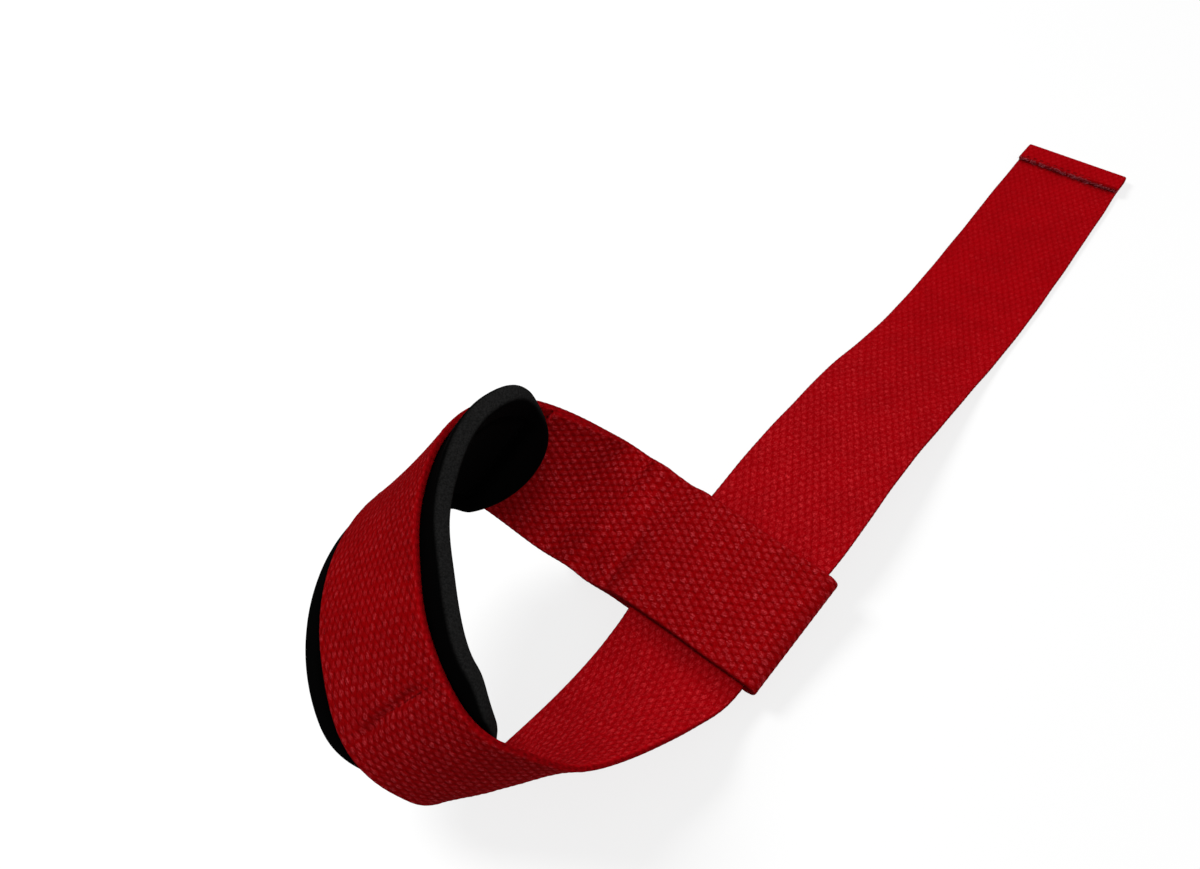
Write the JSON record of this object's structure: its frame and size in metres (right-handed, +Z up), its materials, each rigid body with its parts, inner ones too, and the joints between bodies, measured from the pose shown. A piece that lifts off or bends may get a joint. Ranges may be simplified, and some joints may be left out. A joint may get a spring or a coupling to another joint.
{
  "type": "weightlifting strap",
  "caption": "Lasso weightlifting strap: woven webbing whose tail passes through its own sewn loop, with a foam wrist pad inside the ring.",
  "frame": {"origin": "middle of the footprint, on the plane that the strap lies on", "axes": "+X along the tail towards its hem, +Z up, the ring at the -X end"},
  "size_m": [0.3326, 0.1026, 0.076],
  "materials": {
    "webbing": "coarse woven cotton webbing, deep red, matt",
    "wrist_pad": "black foam pad with a fine knitted face, matt"
  },
  "bodies": {
    "root": {"webbing": "webbing", "wrist_pad": "wrist_pad"}
  },
  "joints": []
}
